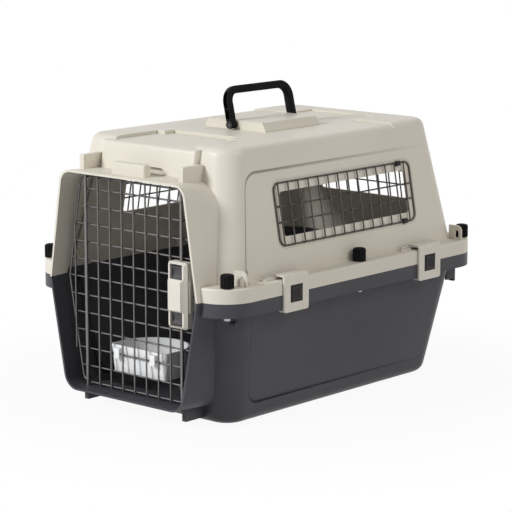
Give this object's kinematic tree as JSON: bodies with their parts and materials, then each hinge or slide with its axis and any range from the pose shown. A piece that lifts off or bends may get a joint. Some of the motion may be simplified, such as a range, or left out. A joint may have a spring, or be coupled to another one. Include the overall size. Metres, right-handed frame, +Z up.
{
  "type": "pet transport carrier",
  "caption": "Two-part moulded pet carrier with a swinging wire door, wire-grilled side and rear windows, clamp knobs, side clips, a folding carry handle and a hung bowl.",
  "frame": {"origin": "on the floor, under the middle of the carrier's bounding box", "axes": "+X to the right seen from the door, +Y from the door to the back, +Z up"},
  "size_m": [0.389, 0.572, 0.4439],
  "materials": {
    "tub_plastic": "fine moulded grain, dark grey",
    "shell_plastic": "fine moulded grain, warm light grey",
    "grille_steel": "welded wire, dull plated",
    "rod_steel": "drawn rod, dull plated",
    "handle_plastic": "near black, fine grain",
    "latch_plastic": "warm light grey",
    "button_plastic": "mid grey",
    "insert_plastic": "dark grey",
    "bolt_steel": "bright plated",
    "bowl_plastic": "white, smooth"
  },
  "bodies": {
    "carrier": {"lower_tub": "tub_plastic", "upper_shell": "shell_plastic", "handle_pivot_pins": "handle_plastic", "window_clips": "insert_plastic", "clip_pins": "bolt_steel", "clamp_bolts": "bolt_steel", "right_window_frame_wire": "grille_steel", "right_window_uprights": "grille_steel", "right_window_cross_wires": "grille_steel", "left_window_frame_wire": "grille_steel", "left_window_uprights": "grille_steel", "left_window_cross_wires": "grille_steel", "rear_window_frame_wire": "grille_steel", "rear_window_uprights": "grille_steel", "rear_window_cross_wires": "grille_steel"},
    "door": {"door_frame_wire": "grille_steel", "door_vertical_wires": "grille_steel", "door_horizontal_wires": "grille_steel", "hinge_rod": "rod_steel", "latch_rod_guides": "grille_steel", "latch_housing": "latch_plastic", "latch_back_plate": "latch_plastic", "latch_screws": "bolt_steel"},
    "latch_upper": {"latch_button_upper": "button_plastic", "latch_rod_upper": "rod_steel"},
    "latch_lower": {"latch_button_lower": "button_plastic", "latch_rod_lower": "rod_steel"},
    "handle": {"carry_handle": "handle_plastic"},
    "bowl": {"food_bowl": "bowl_plastic"},
    "clip_front_right": {"side_clip_front_right": "latch_plastic", "clip_insert_front_right": "insert_plastic"},
    "clip_front_left": {"side_clip_front_left": "latch_plastic", "clip_insert_front_left": "insert_plastic"},
    "clip_rear_right": {"side_clip_rear_right": "latch_plastic", "clip_insert_rear_right": "insert_plastic"},
    "clip_rear_left": {"side_clip_rear_left": "latch_plastic", "clip_insert_rear_left": "insert_plastic"},
    "hand_knob_front_right": {"knob_front_right": "handle_plastic"},
    "hand_knob_front_left": {"knob_front_left": "handle_plastic"},
    "hand_knob_rear_right": {"knob_rear_right": "handle_plastic"},
    "hand_knob_rear_left": {"knob_rear_left": "handle_plastic"},
    "hand_knob_middle_right": {"knob_middle_right": "handle_plastic"},
    "hand_knob_middle_left": {"knob_middle_left": "handle_plastic"}
  },
  "joints": [
    {"name": "door_swing", "type": "hinge", "parent": "carrier", "child": "door", "pos_m": [-0.0924, -0.263, 0.18275], "axis": [0, 0, -1], "range_deg": [0, 110]},
    {"name": "latch_upper_slide", "type": "slide", "parent": "door", "child": "latch_upper", "axis": [0, 0, -1], "range_m": [-0.0022, 0.01], "stiffness_N_per_m": 300},
    {"name": "latch_lower_slide", "type": "slide", "parent": "door", "child": "latch_lower", "axis": [0, 0, 1], "range_m": [-0.0022, 0.01], "stiffness_N_per_m": 300},
    {"name": "bowl_lift", "type": "slide", "parent": "door", "child": "bowl", "axis": [0, 0, 1], "range_m": [0, 0.014]},
    {"name": "handle_fold", "type": "hinge", "parent": "carrier", "child": "handle", "pos_m": [0, 0.00575, 0.3896], "axis": [0, 1, 0], "range_deg": [0, 84]},
    {"name": "clip_swing_front_right", "type": "hinge", "parent": "carrier", "child": "clip_front_right", "pos_m": [0.176, -0.143, 0.2075], "axis": [0, -1, 0], "range_deg": [0, 80]},
    {"name": "clip_swing_front_left", "type": "hinge", "parent": "carrier", "child": "clip_front_left", "pos_m": [-0.176, -0.143, 0.2075], "axis": [0, 1, 0], "range_deg": [0, 80]},
    {"name": "clip_swing_rear_right", "type": "hinge", "parent": "carrier", "child": "clip_rear_right", "pos_m": [0.176, 0.156, 0.2075], "axis": [0, -1, 0], "range_deg": [0, 80]},
    {"name": "clip_swing_rear_left", "type": "hinge", "parent": "carrier", "child": "clip_rear_left", "pos_m": [-0.176, 0.156, 0.2075], "axis": [0, 1, 0], "range_deg": [0, 80]},
    {"name": "knob_turn_front_right", "type": "hinge", "parent": "carrier", "child": "hand_knob_front_right", "pos_m": [0.17008, -0.25708, 0.2043], "axis": [0, 0, 1], "continuous": true},
    {"name": "knob_turn_front_left", "type": "hinge", "parent": "carrier", "child": "hand_knob_front_left", "pos_m": [-0.17008, -0.25708, 0.2043], "axis": [0, 0, 1], "continuous": true},
    {"name": "knob_turn_rear_right", "type": "hinge", "parent": "carrier", "child": "hand_knob_rear_right", "pos_m": [0.17008, 0.26558, 0.2043], "axis": [0, 0, 1], "continuous": true},
    {"name": "knob_turn_rear_left", "type": "hinge", "parent": "carrier", "child": "hand_knob_rear_left", "pos_m": [-0.17008, 0.26558, 0.2043], "axis": [0, 0, 1], "continuous": true},
    {"name": "knob_turn_middle_right", "type": "hinge", "parent": "carrier", "child": "hand_knob_middle_right", "pos_m": [0.1786, 0.011, 0.2043], "axis": [0, 0, 1], "continuous": true},
    {"name": "knob_turn_middle_left", "type": "hinge", "parent": "carrier", "child": "hand_knob_middle_left", "pos_m": [-0.1786, 0.011, 0.2043], "axis": [0, 0, 1], "continuous": true}
  ]
}
